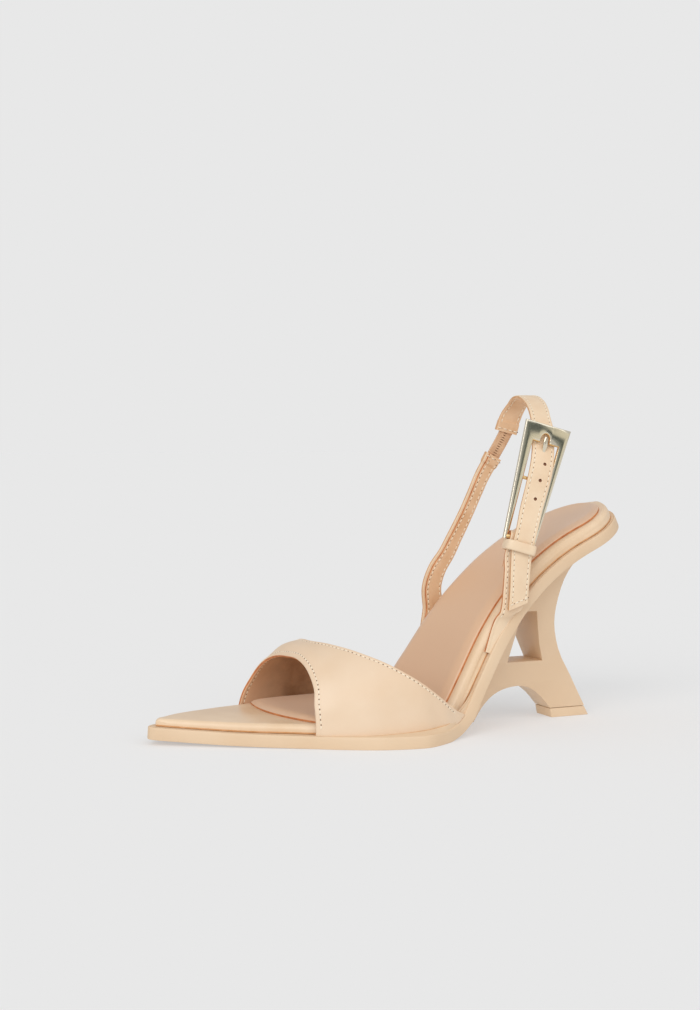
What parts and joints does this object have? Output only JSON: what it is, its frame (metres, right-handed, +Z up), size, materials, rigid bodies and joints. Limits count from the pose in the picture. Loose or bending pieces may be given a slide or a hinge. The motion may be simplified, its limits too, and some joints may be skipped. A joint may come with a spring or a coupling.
{
  "type": "slingback sandal",
  "caption": "Open-toe slingback sandal for the left foot: pointed sole, one wide leather vamp, buckled ankle sling and an open tower heel.",
  "frame": {"origin": "on the floor, at the middle of the flat tread under the ball of the foot", "axes": "+X towards the outer side of the left foot, +Y from the toe to the heel, +Z up"},
  "size_m": [0.0905, 0.2247, 0.1482],
  "materials": {
    "outsole": "matt moulded",
    "heel": "satin lacquer over moulded plastic",
    "top_lift": "matt moulded",
    "footbed_leather": "smooth grain",
    "sock_leather": "smooth, soft sheen",
    "vamp_leather": "smooth grain, soft sheen",
    "strap_leather": "smooth grain",
    "elastic": "woven band",
    "pale_gold": "polished pale gold"
  },
  "bodies": {
    "root": {"outsole": "outsole", "heel": "heel", "top_lift": "top_lift", "footbed": "footbed_leather", "sock": "sock_leather", "vamp": "vamp_leather", "buckle_strap": "strap_leather", "keeper": "strap_leather", "sling_strap": "strap_leather", "medial_strap": "strap_leather", "elastic": "elastic", "buckle_frame": "pale_gold", "prong": "pale_gold"}
  },
  "joints": []
}
